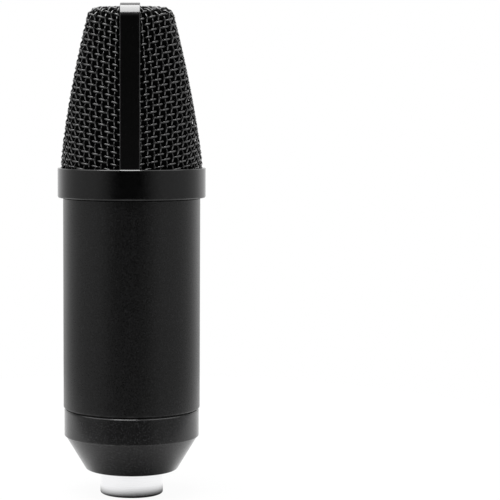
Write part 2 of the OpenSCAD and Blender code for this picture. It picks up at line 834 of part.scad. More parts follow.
module circuit_board() {
  color(board_green)
    difference() {
      translate([-board_w / 2, board_face, z_board]) cube([board_w, board_t, z_board_top - z_board]);
      for (side = [-1, 1], z = board_screw_z)
        translate([side * rail_x, board_face - 1, z]) rotate([-90, 0, 0]) cylinder(r = screw_r + fit, h = board_t + 2);
    }
}

module board_screws() {
  color(steel)
    for (side = [-1, 1], z = board_screw_z)
      translate([side * rail_x, board_face + board_t, z]) rotate([-90, 0, 0])
        pan_screw(screw_r, screw_head_r, screw_head_t, board_t + board_screw_depth);
}

// Puts a part that was drawn along +Z on the front of the board, at x and at a height above the board's foot.
module on_board(x, up) {
  translate([x, board_face, z_board + up]) rotate([90, 0, 0]) children();
}

module electrolytic_capacitors() {
  can_r = can_d / 2;
  bead = 0.25;
  color([0.12, 0.14, 0.2])
    for (k = [-1 : 1])
      on_board(k * can_pitch, can_row) rotate_extrude() polygon([
        [0, 0], [can_r - bead, 0], [can_r, bead], [can_r, 1.4], [can_r - bead, 1.8],
        [can_r, 2.2], [can_r, can_h - bead], [can_r - bead, can_h], [0, can_h],
      ]);
}

module film_capacitors() {
  color([0.6, 0.13, 0.1])
    for (side = [-1, 1])
      on_board(side * film_x - film_len / 2, film_row) cube([film_len, film_t, film_h]);
}

// Three small transistors: a body with one flat side on three legs.
module transistors() {
  body_r = transistor_d / 2;
  leg_h = 2.4;
  leg_r = 0.25;
  leg_pitch = 1.27;
  color(plastic)
    for (place = [-1 : 1])
      on_board(place * transistor_pitch, transistor_row) {
        translate([0, 0, leg_h]) difference() {
          cylinder(r = body_r, h = transistor_h);
          translate([-body_r, body_r * 0.55, -1]) cube([2 * body_r, body_r, transistor_h + 2]);
        }
        for (k = [-1 : 1]) translate([k * leg_pitch, 0, 0]) cylinder(r = leg_r, h = leg_h + 0.5);
      }
}

// Axial resistors, which stand a little off the board on their bent leads.
module resistors() {
  wire_r = 0.3;
  stand = resistor_d / 2 + 0.35;
  end = resistor_span / 2;
  color([0.75, 0.62, 0.45])
    for (side = [-1, 1], row = [0 : 2])
      on_board(side * resistor_x, resistor_row + row * resistor_pitch) {
        translate([-resistor_len / 2, 0, stand]) rotate([0, 90, 0]) cylinder(d = resistor_d, h = resistor_len);
        bent_wire([[-end, 0, 0], [-end, 0, stand], [end, 0, stand], [end, 0, 0]], wire_r);
      }
}

// Connector

z_insert = socket_depth;
z_cups = z_insert + insert_t + 4;
cup_depth = 2.5;
cup_r = 0.8;
pin_turns = [163.6, 16.4, 270];

// The bright shell, with a latch recess in its bore and a flange that rests on the base plate.
module connector_shell() {
  z_shell_top = z_base_top + shell_flange_t;
  latch_w = 5;
  latch_from = 4;
  latch_h = 4;
  latch_depth = 0.8;
  color(bright_metal)
    difference() {
      rotate_extrude() polygon([
        [socket_r + shell_edge / 2, 0],
        [shell_r - shell_edge, 0],
        [shell_r, shell_edge],
        [shell_r, z_base_top],
        [shell_flange_r, z_base_top],
        [shell_flange_r, z_shell_top],
        [insert_bore_r, z_shell_top],
        [insert_bore_r, z_insert],
        [socket_r, z_insert],
        [socket_r, shell_edge / 2],
      ]);
      translate([-latch_w / 2, 0, latch_from]) cube([latch_w, socket_r + latch_depth, latch_h]);
    }
}

module connector_insert() {
  color(plastic)
    translate([0, 0, z_insert]) difference() {
      cylinder(r = insert_bore_r - fit / 2, h = insert_t);
      for (turn = pin_turns)
        rotate(turn) translate([pin_circle_r, 0, -1]) cylinder(r = pin_r + fit / 2, h = insert_t + 2);
    }
}

// A contact pin with a round tip below and a solder cup above.
module contact_pin(number) {
  tip = 0.8;
  color(gold)
    rotate(pin_turns[number - 1]) translate([pin_circle_r, 0, 0]) rotate_extrude() polygon([
      [0, pin_recess],
      [pin_r - tip, pin_recess],
      for (k = [1 : 5]) [pin_r - tip + tip * sin(18 * k), pin_recess + tip * (1 - cos(18 * k))],
      [pin_r, z_cups],
      [cup_r, z_cups],
      [cup_r, z_cups - cup_depth],
      [0, z_cups - cup_depth],
    ]);
}

module contact_pin_1() {
  contact_pin(1);
}

module contact_pin_2() {
  contact_pin(2);
}

module contact_pin_3() {
  contact_pin(3);
}

// Headless screws that hold the connector shell in the base plate.
module shell_set_screws() {
  length = 5;
  socket_r = 0.65;
  set_screw_z = (z_base + z_base_top) / 2;
  color(steel)
    for (side = [-1, 1])
      translate([0, 0, set_screw_z]) rotate([-90 * side, 0, 0]) translate([0, 0, shell_r + fit]) difference() {
        cylinder(r = big_screw_r, h = length);
        translate([0, 0, length - 1.5]) cylinder(r = socket_r, h = 2, $fn = 6);
      }
}

// One lead from the back of the board, down into a pin's solder cup.
module connector_lead(k) {
  pin_x = pin_circle_r * cos(pin_turns[k]);
  pin_y = pin_circle_r * sin(pin_turns[k]);
  board_x = [-8, 8, 0][k];
  lead([
    [board_x, board_lead_y, z_board + 6],
    [board_x, board_lead_y, z_board - 0.5],
    [pin_x, pin_y, z_base_top + shell_flange_t],
    [pin_x, pin_y, z_cups - cup_depth + fit],
  ], lead_r);
}

module connector_leads() {
  color(rubber) for (k = [0 : 2]) connector_lead(k);
}

barrel();
end_cap();
head_collar();
grille_right();
grille_left();
grille_strap();
inner_screen();
foam_liner();
retaining_ring();
head_screws();
top_plate();
left_rail();
right_rail();
base_plate();
rail_screws();
rubber_isolator();
capsule_pedestal();
pedestal_screws();
capsule_housing();
capsule_insulator();
backplate();
diaphragm_spacer();
diaphragm();
diaphragm_clamp();
clamp_screws();
capsule_leads();
circuit_board();
board_screws();
electrolytic_capacitors();
film_capacitors();
transistors();
resistors();
connector_shell();
connector_insert();
contact_pin_1();
contact_pin_2();
contact_pin_3();
shell_set_screws();
connector_leads();
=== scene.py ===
# %% [markdown]
# # A side-address condenser microphone
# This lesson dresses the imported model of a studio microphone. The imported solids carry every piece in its
# place, in metres, with +Z up the barrel and the capsule facing +X. Here the pieces that show get finer
# meshes and painted, woven and plated finishes, and the camera and the light of a product photograph.

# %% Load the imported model
import math

import bmesh
import bpy
import numpy as np
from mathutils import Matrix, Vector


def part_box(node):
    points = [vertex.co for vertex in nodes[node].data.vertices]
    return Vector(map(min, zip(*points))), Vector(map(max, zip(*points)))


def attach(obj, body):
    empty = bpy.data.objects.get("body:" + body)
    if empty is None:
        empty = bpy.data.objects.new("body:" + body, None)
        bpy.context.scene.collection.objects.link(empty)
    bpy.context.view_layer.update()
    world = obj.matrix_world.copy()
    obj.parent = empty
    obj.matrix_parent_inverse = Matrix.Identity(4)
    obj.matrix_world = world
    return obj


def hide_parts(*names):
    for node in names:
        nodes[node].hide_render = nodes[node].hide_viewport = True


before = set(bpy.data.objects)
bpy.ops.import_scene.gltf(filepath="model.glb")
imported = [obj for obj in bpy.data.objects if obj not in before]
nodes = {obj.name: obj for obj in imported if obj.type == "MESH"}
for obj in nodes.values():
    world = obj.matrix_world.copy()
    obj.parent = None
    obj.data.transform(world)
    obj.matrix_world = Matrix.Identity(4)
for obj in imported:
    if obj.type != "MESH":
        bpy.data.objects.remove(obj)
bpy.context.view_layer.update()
MM = 0.001
print("pieces in the packed model:", len(nodes))

# %% [markdown]
# ## Camera
# A long lens from a little above the middle of the barrel. The microphone stands upright in the picture but
# left of its middle, so the lens is shifted sideways rather than turned. Its length comes from how fast the
# rings of the barrel close up towards the foot. The strap shows a little left of the middle of the barrel, so
# the camera stands a degree or two round to the right.

# %% Camera
SENSOR, LENS, SHIFT = 36, 132.4, 0.2367
CAMERA_AWAY, CAMERA_UP = 0.596, 0.127
LOOK_DOWN, LOOK_ROUND = math.radians(4.536), math.radians(1.35)
scene = bpy.context.scene
scene.view_settings.view_transform = "Standard"

camera_data = bpy.data.cameras.new("camera")
camera_data.sensor_width = SENSOR
camera_data.lens = LENS
camera_data.shift_x = SHIFT
camera = bpy.data.objects.new("camera", camera_data)
camera.location = (CAMERA_AWAY * math.sin(LOOK_ROUND), -CAMERA_AWAY * math.cos(LOOK_ROUND), CAMERA_UP)
camera.rotation_euler = (math.pi / 2 - LOOK_DOWN, 0, LOOK_ROUND)
scene.collection.objects.link(camera)
scene.camera = camera
print("camera at", [round(c, 3) for c in camera.location])

# %% [markdown]
# ## From points to pieces
# Every new piece starts as a list of points, in millimetres, and a list of faces. One helper turns them into
# a smooth shaded mesh and fixes it to the body that it moves with.
# Edges steeper than SHARP degrees stay crisp. A piece may mark its rounded edges, so that a finish can thin
# out there.

# %% From points to pieces
SHARP = 35


def mesh_of(name, points, faces):
    """A mesh from points in millimetres."""
    mesh = bpy.data.meshes.new(name)
    mesh.from_pydata([tuple(c * MM for c in p) for p in points], [], [tuple(f) for f in faces])
    return mesh


def make_piece(name, points, faces, body, sharp=SHARP, edge=None):
    """A smooth shaded piece, which rides on a body. edge marks its rounded points."""
    mesh = mesh_of(name, points, faces)
    built = bmesh.new()
    built.from_mesh(mesh)
    bmesh.ops.recalc_face_normals(built, faces=built.faces)
    built.to_mesh(mesh)
    built.free()
    mesh.shade_smooth()
    mesh.set_sharp_from_angle(angle=math.radians(sharp))
    if edge is not None:
        mesh.attributes.new("edge", "FLOAT", "POINT").data.foreach_set("value", np.asarray(edge, np.float32))
    piece = bpy.data.objects.new(name, mesh)
    scene.collection.objects.link(piece)
    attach(piece, body)
    return piece


def use(piece, material):
    """Gives a piece one material."""
    piece.data.materials.clear()
    piece.data.materials.append(material)


# %% [markdown]
# ## A lathe
# Most outside pieces are turned on a lathe, so one helper spins a closed outline round the axis. A second
# helper rounds the corners of an outline first: a real edge is never sharp, and its small radius is what
# catches the light. Points that lie on a rounded corner are marked, with plain points close beside them.

# %% Rounded outlines
BESIDE = 0.3
MOST_OF_SIDE = 0.49
NEARLY_STRAIGHT = math.radians(89)


def round_corners(corners, steps=5):
    """Rounds each (x, y, radius) corner of a closed outline. Returns the points and an edge mark for each."""
    points, marks = [], []
    count = len(corners)
    for k, (x, y, radius) in enumerate(corners):
        here = np.array([x, y], float)
        back = np.array(corners[k - 1][:2], float) - here
        on = np.array(corners[(k + 1) % count][:2], float) - here
        back_len, on_len = np.linalg.norm(back), np.linalg.norm(on)
        back, on = back / back_len, on / on_len
        half = math.acos(max(-1, min(1, float(back @ on)))) / 2
        if radius <= 0 or half > NEARLY_STRAIGHT:
            points.append(here)
            marks.append(0)
            continue
        reach = min(radius / math.tan(half), MOST_OF_SIDE * min(back_len, on_len))
        radius = reach * math.tan(half)
        middle = here + (back + on) / np.linalg.norm(back + on) * radius / math.sin(half)
        start, end = here + back * reach - middle, here + on * reach - middle
        a = math.atan2(start[1], start[0])
        turn = (math.atan2(end[1], end[0]) - a + math.pi) % (2 * math.pi) - math.pi
        arc = [a + turn * s / steps for s in range(steps + 1)]
        # The plain points beside the arc stay short of the middle of their sides.
        points.append(here + back * (reach + min(BESIDE, 0.45 * back_len - 0.9 * reach)))
        points += [middle + radius * np.array([math.cos(angle), math.sin(angle)]) for angle in arc]
        points.append(here + on * (reach + min(BESIDE, 0.45 * on_len - 0.9 * reach)))
        marks += [0] + [1] * len(arc) + [0]
    return points, marks


# %% Lathe
def lathe(name, corners, body, turns=256):
    """Spins a closed outline of (radius, height, corner radius) in millimetres round the Z axis."""
    outline, marks = round_corners(corners)
    rows = len(outline)
    points, edge = [], []
    for t in range(turns):
        c, s = math.cos(2 * math.pi * t / turns), math.sin(2 * math.pi * t / turns)
        points += [(r * c, r * s, z) for r, z in outline]
        edge += marks
    faces = []
    for t in range(turns):
        n = (t + 1) % turns
        for k in range(rows):
            j = (k + 1) % rows
            faces.append((t * rows + k, n * rows + k, n * rows + j, t * rows + j))
    return make_piece(name, points, faces, body, edge=edge)


# %% [markdown]
# ## Finishes that repeat
# Three effects are shared between the finishes, so each is a shader node group with its own inputs: the fine
# light specks of a sprayed coat, the lines that a lathe tool leaves round a turned piece, and the polish that
# handling leaves on an edge. Each takes the object's own coordinates, so nothing has to be unwrapped.

# %% Node helpers
FLOAT, COLOR = "NodeSocketFloat", "NodeSocketColor"
WHITE = (1, 1, 1, 1)


def grey(value, tint=0.0):
    return (value, value, value * (1 + tint), 1)


def link_nodes(tree, *pairs):
    for out, into in pairs:
        tree.links.new(out, into)


def feed(tree, node, values):
    """Fills a node's inputs from {input: value}, with a link where the value is a socket."""
    for key, value in values.items():
        if isinstance(value, bpy.types.NodeSocket):
            tree.links.new(value, node.inputs[key])
        else:
            node.inputs[key].default_value = value


def new_group(name, inputs, outputs):
    """An empty node group with inputs {name: default}, numbers or colours, and outputs {name: socket type}."""
    group = bpy.data.node_groups.new(name, "ShaderNodeTree")
    for label, default in inputs.items():
        kind = COLOR if isinstance(default, tuple) else FLOAT
        socket = group.interface.new_socket(label, in_out="INPUT", socket_type=kind)
        socket.default_value = default
    for label, kind in outputs.items():
        group.interface.new_socket(label, in_out="OUTPUT", socket_type=kind)
    return group, group.nodes.new("NodeGroupInput"), group.nodes.new("NodeGroupOutput")


# %% Nodes that compute
def mix_colors(tree, factor, dark, light):
    node = tree.nodes.new("ShaderNodeMix")
    node.data_type = "RGBA"
    feed(tree, node, {0: factor, 6: dark, 7: light})
    return node.outputs[2]


def map_range(tree, value, low, high, to_low, to_high):
    node = tree.nodes.new("ShaderNodeMapRange")
    feed(tree, node, dict(enumerate((value, low, high, to_low, to_high))))
    return node.outputs[0]


def math_node(tree, kind, a, b):
    node = tree.nodes.new("ShaderNodeMath")
    node.operation = kind
    feed(tree, node, {0: a, 1: b})
    return node.outputs[0]


def vector_node(tree, kind, a, b):
    node = tree.nodes.new("ShaderNodeVectorMath")
    node.operation = kind
    feed(tree, node, {0: a, 1: b})
    return node.outputs


def noise(tree, vector, scale, detail):
    node = tree.nodes.new("ShaderNodeTexNoise")
    feed(tree, node, {"Vector": vector, "Scale": scale, "Detail": detail})
    return node.outputs["Fac"]


# %% Sprayed coat
coat_grain, grain_in, grain_out = new_group(
    "coat_grain",
    {"Grain": 2200.0, "Dark": grey(0.01), "Light": grey(0.03), "Smooth": 0.3, "Rough": 0.5},
    {"Color": COLOR, "Roughness": FLOAT, "Height": FLOAT},
)
grain_at = coat_grain.nodes.new("ShaderNodeTexCoord").outputs["Object"]
fine = noise(coat_grain, grain_at, grain_in.outputs["Grain"], 3.0)
speck = map_range(coat_grain, fine, 0.48, 0.72, 0.0, 1.0)
speckled = mix_colors(coat_grain, speck, grain_in.outputs["Dark"], grain_in.outputs["Light"])
uneven = map_range(coat_grain, fine, 0.3, 0.7, grain_in.outputs["Smooth"], grain_in.outputs["Rough"])
link_nodes(
    coat_grain,
    (speckled, grain_out.inputs["Color"]),
    (uneven, grain_out.inputs["Roughness"]),
    (fine, grain_out.inputs["Height"]),
)
print("shared effect:", coat_grain.name)

# %% Turned lines
ROUND_STRETCH = (0.02, 0.02, 1.0)
turned_lines, turned_in, turned_out = new_group(
    "turned_lines",
    {"Lines": 5000.0, "Smooth": 0.2, "Rough": 0.35},
    {"Roughness": FLOAT, "Height": FLOAT},
)
turned_at = turned_lines.nodes.new("ShaderNodeTexCoord").outputs["Object"]
stretched = vector_node(turned_lines, "MULTIPLY", turned_at, ROUND_STRETCH)["Vector"]
ring_lines = noise(turned_lines, stretched, turned_in.outputs["Lines"], 2.0)
tooled = map_range(turned_lines, ring_lines, 0.3, 0.7, turned_in.outputs["Smooth"], turned_in.outputs["Rough"])
link_nodes(
    turned_lines,
    (tooled, turned_out.inputs["Roughness"]),
    (ring_lines, turned_out.inputs["Height"]),
)
print("shared effect:", turned_lines.name)

# %% Edge polish
PATCHES = 400.0
edge_polish, polish_in, polish_out = new_group(
    "edge_polish", {"Color": grey(0.01), "Bare": grey(0.1), "Amount": 0.3}, {"Color": COLOR}
)
edge_mark = edge_polish.nodes.new("ShaderNodeAttribute")
edge_mark.attribute_name = "edge"
polish_at = edge_polish.nodes.new("ShaderNodeTexCoord").outputs["Object"]
patchy = map_range(edge_polish, noise(edge_polish, polish_at, PATCHES, 3.0), 0.4, 0.65, 0.0, 1.0)
marked = math_node(edge_polish, "MULTIPLY", edge_mark.outputs["Fac"], patchy)
worn = math_node(edge_polish, "MULTIPLY", marked, polish_in.outputs["Amount"])
polished = mix_colors(edge_polish, worn, polish_in.outputs["Color"], polish_in.outputs["Bare"])
link_nodes(edge_polish, (polished, polish_out.inputs["Color"]))
print("shared effect:", edge_polish.name)

# %% [markdown]
# ## Materials
# A material holds its own Principled shader, with plain numbers on its sockets, and takes only what varies
# from the groups. The black coats are very dark, and what shows on them is mostly reflected light, so their
# roughness matters more than their colour: the barrel is satin, the collar smoother, the strap glossy.

# %% Material helpers
GRAIN_DEPTH, LINE_DEPTH = 0.0001, 0.00005


def new_material(name, **sockets):
    """A material with a Principled shader, whose sockets are set by name with _ for a space."""
    material = bpy.data.materials.new(name)
    material.use_nodes = True
    tree = material.node_tree
    shader = tree.nodes["Principled BSDF"]
    feed(tree, shader, {label.replace("_", " "): value for label, value in sockets.items()})
    return material, tree, shader


def place_group(tree, group, **values):
    node = tree.nodes.new("ShaderNodeGroup")
    node.node_tree = group
    feed(tree, node, values)
    return node


def add_bump(tree, shader, height, strength, distance):
    bump = tree.nodes.new("ShaderNodeBump")
    feed(tree, bump, {"Strength": strength, "Distance": distance, "Height": height})
    tree.links.new(bump.outputs["Normal"], shader.inputs["Normal"])


# %% Coats and bare metals
def coat(name, dark, light, smooth, rough, grain=2200.0, bump=0.1, bare=0.06, **sockets):
    """A sprayed coat with its grain, and a little polish on its edges."""
    material, tree, shader = new_material(name, **sockets)
    spray = place_group(tree, coat_grain, Grain=grain, Dark=dark, Light=light, Smooth=smooth, Rough=rough)
    polish = place_group(tree, edge_polish, Bare=grey(bare))
    link_nodes(
        tree,
        (spray.outputs["Color"], polish.inputs["Color"]),
        (polish.outputs["Color"], shader.inputs["Base Color"]),
        (spray.outputs["Roughness"], shader.inputs["Roughness"]),
    )
    add_bump(tree, shader, spray.outputs["Height"], bump, GRAIN_DEPTH)
    return material


def turned(name, color, smooth, rough, bump=0.05):
    """Turned or drawn bare metal."""
    material, tree, shader = new_material(name, Metallic=1.0, Base_Color=color)
    tooling = place_group(tree, turned_lines, Smooth=smooth, Rough=rough)
    tree.links.new(tooling.outputs["Roughness"], shader.inputs["Roughness"])
    add_bump(tree, shader, tooling.outputs["Height"], bump, LINE_DEPTH)
    return material


# %% The finishes outside
COOL, FINE_GRAIN = 0.05, 3000.0
barrel_coat = coat(
    "barrel_coat", grey(0.0004, COOL), grey(0.016, COOL), 0.26, 0.33, grain=FINE_GRAIN, bump=0.2,
)
collar_coat = coat(
    "collar_coat", grey(0.0002, COOL), grey(0.01, COOL), 0.11, 0.15, grain=FINE_GRAIN, bump=0.08,
)
cap_coat = coat(
    "cap_coat", grey(0.0003, COOL), grey(0.028, COOL), 0.16, 0.2, grain=FINE_GRAIN, bump=0.15,
    Coat_Weight=0.15, Coat_Roughness=0.12,
)
strap_coat = coat(
    "strap_coat", grey(0.0005), grey(0.001), 0.11, 0.13, grain=900.0, bump=0.008,
    Specular_IOR_Level=1.0, Coat_Weight=1.0, Coat_Roughness=0.2,
)
wire_coat = coat(
    "wire_coat", grey(0.002), grey(0.004), 0.09, 0.13, grain=2500.0, bump=0.04,
    Specular_IOR_Level=1.0, Coat_Weight=0.7, Coat_Roughness=0.08,
)
bright_plate = turned("bright_plate", (0.84, 0.84, 0.85, 1), 0.12, 0.2)
print("materials outside:", len(bpy.data.materials))

# %% The finishes inside
screen_black = coat(
    "screen_black", grey(0.0005), grey(0.0015), 0.7, 0.9, grain=FINE_GRAIN, bump=0.5, Specular_IOR_Level=0.1,
)
foam_black = coat(
    "foam_black", grey(0.002), grey(0.006), 0.85, 0.98, grain=1400.0, bump=0.9, Specular_IOR_Level=0.1,
)
rubber_black = coat("rubber_black", grey(0.012), grey(0.02), 0.6, 0.75)
moulded_black = coat("moulded_black", grey(0.015), grey(0.022), 0.4, 0.55, grain=1800.0)
lead_black = coat("lead_black", grey(0.012), grey(0.02), 0.3, 0.42)
board_green = coat("board_green", (0.008, 0.06, 0.025, 1), (0.014, 0.09, 0.04, 1), 0.3, 0.42)
sleeve_blue = coat("sleeve_blue", (0.008, 0.012, 0.04, 1), (0.014, 0.02, 0.06, 1), 0.25, 0.36)
dipped_red = coat("dipped_red", (0.25, 0.02, 0.012, 1), (0.34, 0.035, 0.02, 1), 0.18, 0.3)
lacquer_tan = coat("lacquer_tan", (0.42, 0.28, 0.15, 1), (0.52, 0.36, 0.2, 1), 0.35, 0.5)
cast_grey = coat("cast_grey", grey(0.4), grey(0.5), 0.34, 0.5, bump=0.25, bare=0.6, Metallic=1.0)
plated_steel = turned("plated_steel", (0.55, 0.55, 0.57, 1), 0.25, 0.4)
turned_brass = turned("turned_brass", (0.8, 0.6, 0.28, 1), 0.2, 0.35)
gold_plate = turned("gold_plate", (0.9, 0.68, 0.3, 1), 0.12, 0.22)
gold_film = turned("gold_film", (0.92, 0.72, 0.36, 1), 0.05, 0.12, bump=0.02)
print("materials in all:", len(bpy.data.materials))

# %% [markdown]
# ## Barrel, end cap and collar
# On the real microphone these three are turned from tube and bar, and sprayed. Their outlines follow the
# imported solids, with the small roundings that make the seams read as thin lit lines: the barrel's foot is
# cut back to a narrow groove that stays dark, and the end cap's chamfer below it catches the light. The
# collar's lower edge has a thin lip. Two countersunk holes in its skirt, for the screws that hold the head,
# show when the barrel is down. They are cut with a boolean, whose result is kept as the mesh.

# %% Barrel
BARREL_R, BARREL_BORE_R, BARREL_EDGE = 22.25, 20.45, 0.45
SEAM_H, SEAM_R = 0.06, 20.9
barrel_low, barrel_high = (corner.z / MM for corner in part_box("barrel"))
barrel = lathe(
    "barrel_shell",
    [
        (BARREL_BORE_R, barrel_low, 0),
        (SEAM_R, barrel_low, 0.05),
        (SEAM_R, barrel_low + SEAM_H, 0),
        (BARREL_R - BARREL_EDGE, barrel_low + SEAM_H, 0.06),
        (BARREL_R, barrel_low + SEAM_H + BARREL_EDGE, 0.1),
        (BARREL_R, barrel_high - BARREL_EDGE, 0.1),
        (BARREL_R - BARREL_EDGE, barrel_high, 0.05),
        (BARREL_BORE_R, barrel_high, 0),
    ],
    "barrel",
)
use(barrel, barrel_coat)
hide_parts("barrel")
print("barrel length", round(barrel_high - barrel_low, 2))

# %% End cap
CAP_R, CAP_BORE_R, CAP_HOLE_R = 21.99, 20.3, 10.6
CAP_CONE_H, CAP_TIP_R, CAP_SHOULDER_R = 11.1, 15.4, 21.64
CAP_EDGE_H, CAP_EDGE_R, SEAM_DROP = 0.4, 0.3, 0.21
CAP_WALL, CONE_WALL, TIP_IN, TIP_ROUND, THREAD_H = 2.0, 2.3, 0.45, 0.8, 6.6
cap_low, cap_high = (corner.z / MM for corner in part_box("end_cap"))
end_cap = lathe(
    "end_cap_shell",
    [
        (CAP_HOLE_R, cap_low, 0.2),
        (CAP_TIP_R - TIP_IN, cap_low, TIP_ROUND),
        (CAP_SHOULDER_R, cap_low + CAP_CONE_H, 0.05),
        (CAP_R, cap_low + CAP_CONE_H, 0.2),
        (CAP_R, cap_high - SEAM_DROP - CAP_EDGE_H, 0.12),
        (CAP_R - CAP_EDGE_R, cap_high - SEAM_DROP, 0.05),
        (SEAM_R, cap_high - SEAM_DROP, 0),
        (SEAM_R, cap_high, 0),
        (CAP_BORE_R, cap_high, 0.05),
        (CAP_BORE_R, cap_high - THREAD_H, 0),
        (CAP_TIP_R - CONE_WALL, cap_low + CAP_WALL, 0.5),
        (CAP_HOLE_R, cap_low + CAP_WALL, 0.2),
    ],
    "end_cap",
)
use(end_cap, cap_coat)
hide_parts("end_cap")
print("end cap from", round(cap_low, 2), "to", round(cap_high, 2))

# %% Collar
COLLAR_R, COLLAR_LOW, COLLAR_HIGH, COLLAR_EDGE = 24.0, 97.0, 106.5, 0.2
COLLAR_LIP, LIP_FROM, LIP_STEP = 0.06, 1.0, 0.9
LOWER_EDGE_R, LOWER_EDGE_H = 0.24, 0.32
SEAT_R, SEAT_Z, SKIRT_R, SKIRT_BORE_R = 23.1, 100.0, 20.15, 18.45
skirt_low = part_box("head_collar")[0].z / MM
collar = lathe(
    "collar_ring",
    [
        (SKIRT_BORE_R, skirt_low, 0.1),
        (SKIRT_R, skirt_low, 0.2),
        (SKIRT_R, COLLAR_LOW, 0),
        (COLLAR_R - LIP_FROM, COLLAR_LOW, 0),
        (COLLAR_R - LIP_STEP, COLLAR_LOW - COLLAR_LIP, 0),
        (COLLAR_R - LOWER_EDGE_R, COLLAR_LOW - COLLAR_LIP, 0.02),
        (COLLAR_R, COLLAR_LOW + LOWER_EDGE_H, 0.1),
        (COLLAR_R, COLLAR_HIGH - COLLAR_EDGE, 0.05),
        (COLLAR_R - COLLAR_EDGE, COLLAR_HIGH, 0.05),
        (SEAT_R, COLLAR_HIGH, 0.1),
        (SEAT_R, SEAT_Z, 0),
        (SKIRT_BORE_R, SEAT_Z, 0.1),
    ],
    "head_and_chassis",
)
print("collar height", COLLAR_HIGH - COLLAR_LOW)


# %% Drilling
def cut(piece, points, faces):
    """Cuts a closed shape, given in millimetres, out of a piece."""
    shape = mesh_of("cutter", points, faces)
    cutter = bpy.data.objects.new("cutter", shape)
    scene.collection.objects.link(cutter)
    tool = piece.modifiers.new("cut", "BOOLEAN")
    tool.operation, tool.object = "DIFFERENCE", cutter
    whole = piece.data
    piece.data = bpy.data.meshes.new_from_object(piece.evaluated_get(bpy.context.evaluated_depsgraph_get()))
    piece.modifiers.clear()
    piece.data.set_sharp_from_angle(angle=math.radians(SHARP))
    for spare in (whole, shape):
        bpy.data.meshes.remove(spare)


def spindle(rings, turns=48):
    """A closed shape turned round the Y axis from (radius, y) rings, for drilling with cut."""
    angles = 2 * math.pi * np.arange(turns) / turns
    points = [(r * math.cos(a), y, r * math.sin(a)) for r, y in rings for a in angles]
    faces = [tuple(range(turns)), tuple(reversed(range((len(rings) - 1) * turns, len(rings) * turns)))]
    for k in range(len(rings) - 1):
        for i in range(turns):
            j = (i + 1) % turns
            faces.append((k * turns + j, k * turns + i, (k + 1) * turns + i, (k + 1) * turns + j))
    return points, faces


# %% The collar's screw holes
SCREW_HOLE_R, SCREW_HEAD_R, SCREW_SINK, SCREW_RIM = 1.35, 2.4, 1.1, 0.05
DRILL_FROM, DRILL_PAST = 15, 1
screw_z = sum(corner.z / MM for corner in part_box("head_screws")) / 2
for side in (-1, 1):
    hole, sides = spindle([
        (SCREW_HOLE_R, side * DRILL_FROM), (SCREW_HOLE_R, side * (SKIRT_R - SCREW_SINK)),
        (SCREW_HEAD_R, side * (SKIRT_R - SCREW_RIM)), (SCREW_HEAD_R, side * (SKIRT_R + DRILL_PAST)),
    ])
    hole = [(x, y, z + screw_z) for x, y, z in hole]
    cut(collar, hole, sides if side > 0 else [tuple(reversed(f)) for f in sides])
use(collar, collar_coat)
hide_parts("head_collar")
print("screw holes at height", round(screw_z, 2))

# %% [markdown]
# ## Strap
# The head is a round basket with two slanting faces cut off it, towards the two sides that it hears. Its
# outline at any height is a face, a rounded edge and part of a circle. A flat strip is bent over the seam
# between the two halves, in the middle of the round front and back. It is swept as a rounded oblong, and
# at each foot it laps over the collar's chamfer, which shows as a short bright line.

# %% The outline of the basket
FOOT_Z, TOP_Z = COLLAR_HIGH, 157.6
ROUND_R, TOP_X, EDGE_R, LEAST_EDGE = 23.0, 14.1, 6.0, 0.5
CORNER_R, BOW, STRAIGHT_FOOT = 4.0, 0.3, 2.0
FRONT_Y = 22.75
CORNER_Z = TOP_Z - CORNER_R


def face_half(z):
    """The slanting face's distance from the middle at height z."""
    t = np.maximum(0, (z - FOOT_Z - STRAIGHT_FOOT) / (CORNER_Z - FOOT_Z - STRAIGHT_FOOT))
    return ROUND_R - (ROUND_R - TOP_X) * ((1 - BOW) * t + BOW * t * t)


def quarter(half, round_r, edge_r):
    """Lengths of the face, the edge and the circle in a quarter of an outline, and the angle of the edge."""
    face = np.sqrt(np.maximum(0, (round_r - edge_r) ** 2 - (half - edge_r) ** 2))
    turn = np.arctan2(face, half - edge_r)
    return face, edge_r * turn, round_r * (math.pi / 2 - turn), turn


def outline_point(half, round_r, edge_r, along):
    """The outline's x and y at a distance along its quarter, from the middle of the face to the strap."""
    face, edge, _, turn = quarter(half, round_r, edge_r)
    on_edge = (along - face) / edge_r
    on_circle = turn + (along - face - edge) / round_r
    places = [along <= face, along <= face + edge]
    edge_x, edge_y = half - edge_r + edge_r * np.cos(on_edge), face + edge_r * np.sin(on_edge)
    x = np.select(places, [half + 0 * along, edge_x], round_r * np.cos(on_circle))
    y = np.select(places, [along, edge_y], round_r * np.sin(on_circle))
    return x, y * FRONT_Y / ROUND_R


print("half width of the head at foot and top:", float(face_half(FOOT_Z)), float(face_half(CORNER_Z)))


# %% Sweep
def sweep(paths, ring):
    """Tubes along paths, lists of (point, side vector, up vector). ring is a list of (side, up)."""
    points, faces = [], []
    around = len(ring)
    for path in paths:
        first = len(points)
        for at, side, up in path:
            points += [at + side * s + up * u for s, u in ring]
        for k in range(len(path) - 1):
            low, high = first + k * around, first + (k + 1) * around
            faces += [
                (low + i, low + (i + 1) % around, high + (i + 1) % around, high + i) for i in range(around)
            ]
        last = first + (len(path) - 1) * around
        faces += [tuple(first + i for i in reversed(range(around))), tuple(last + i for i in range(around))]
    return points, faces


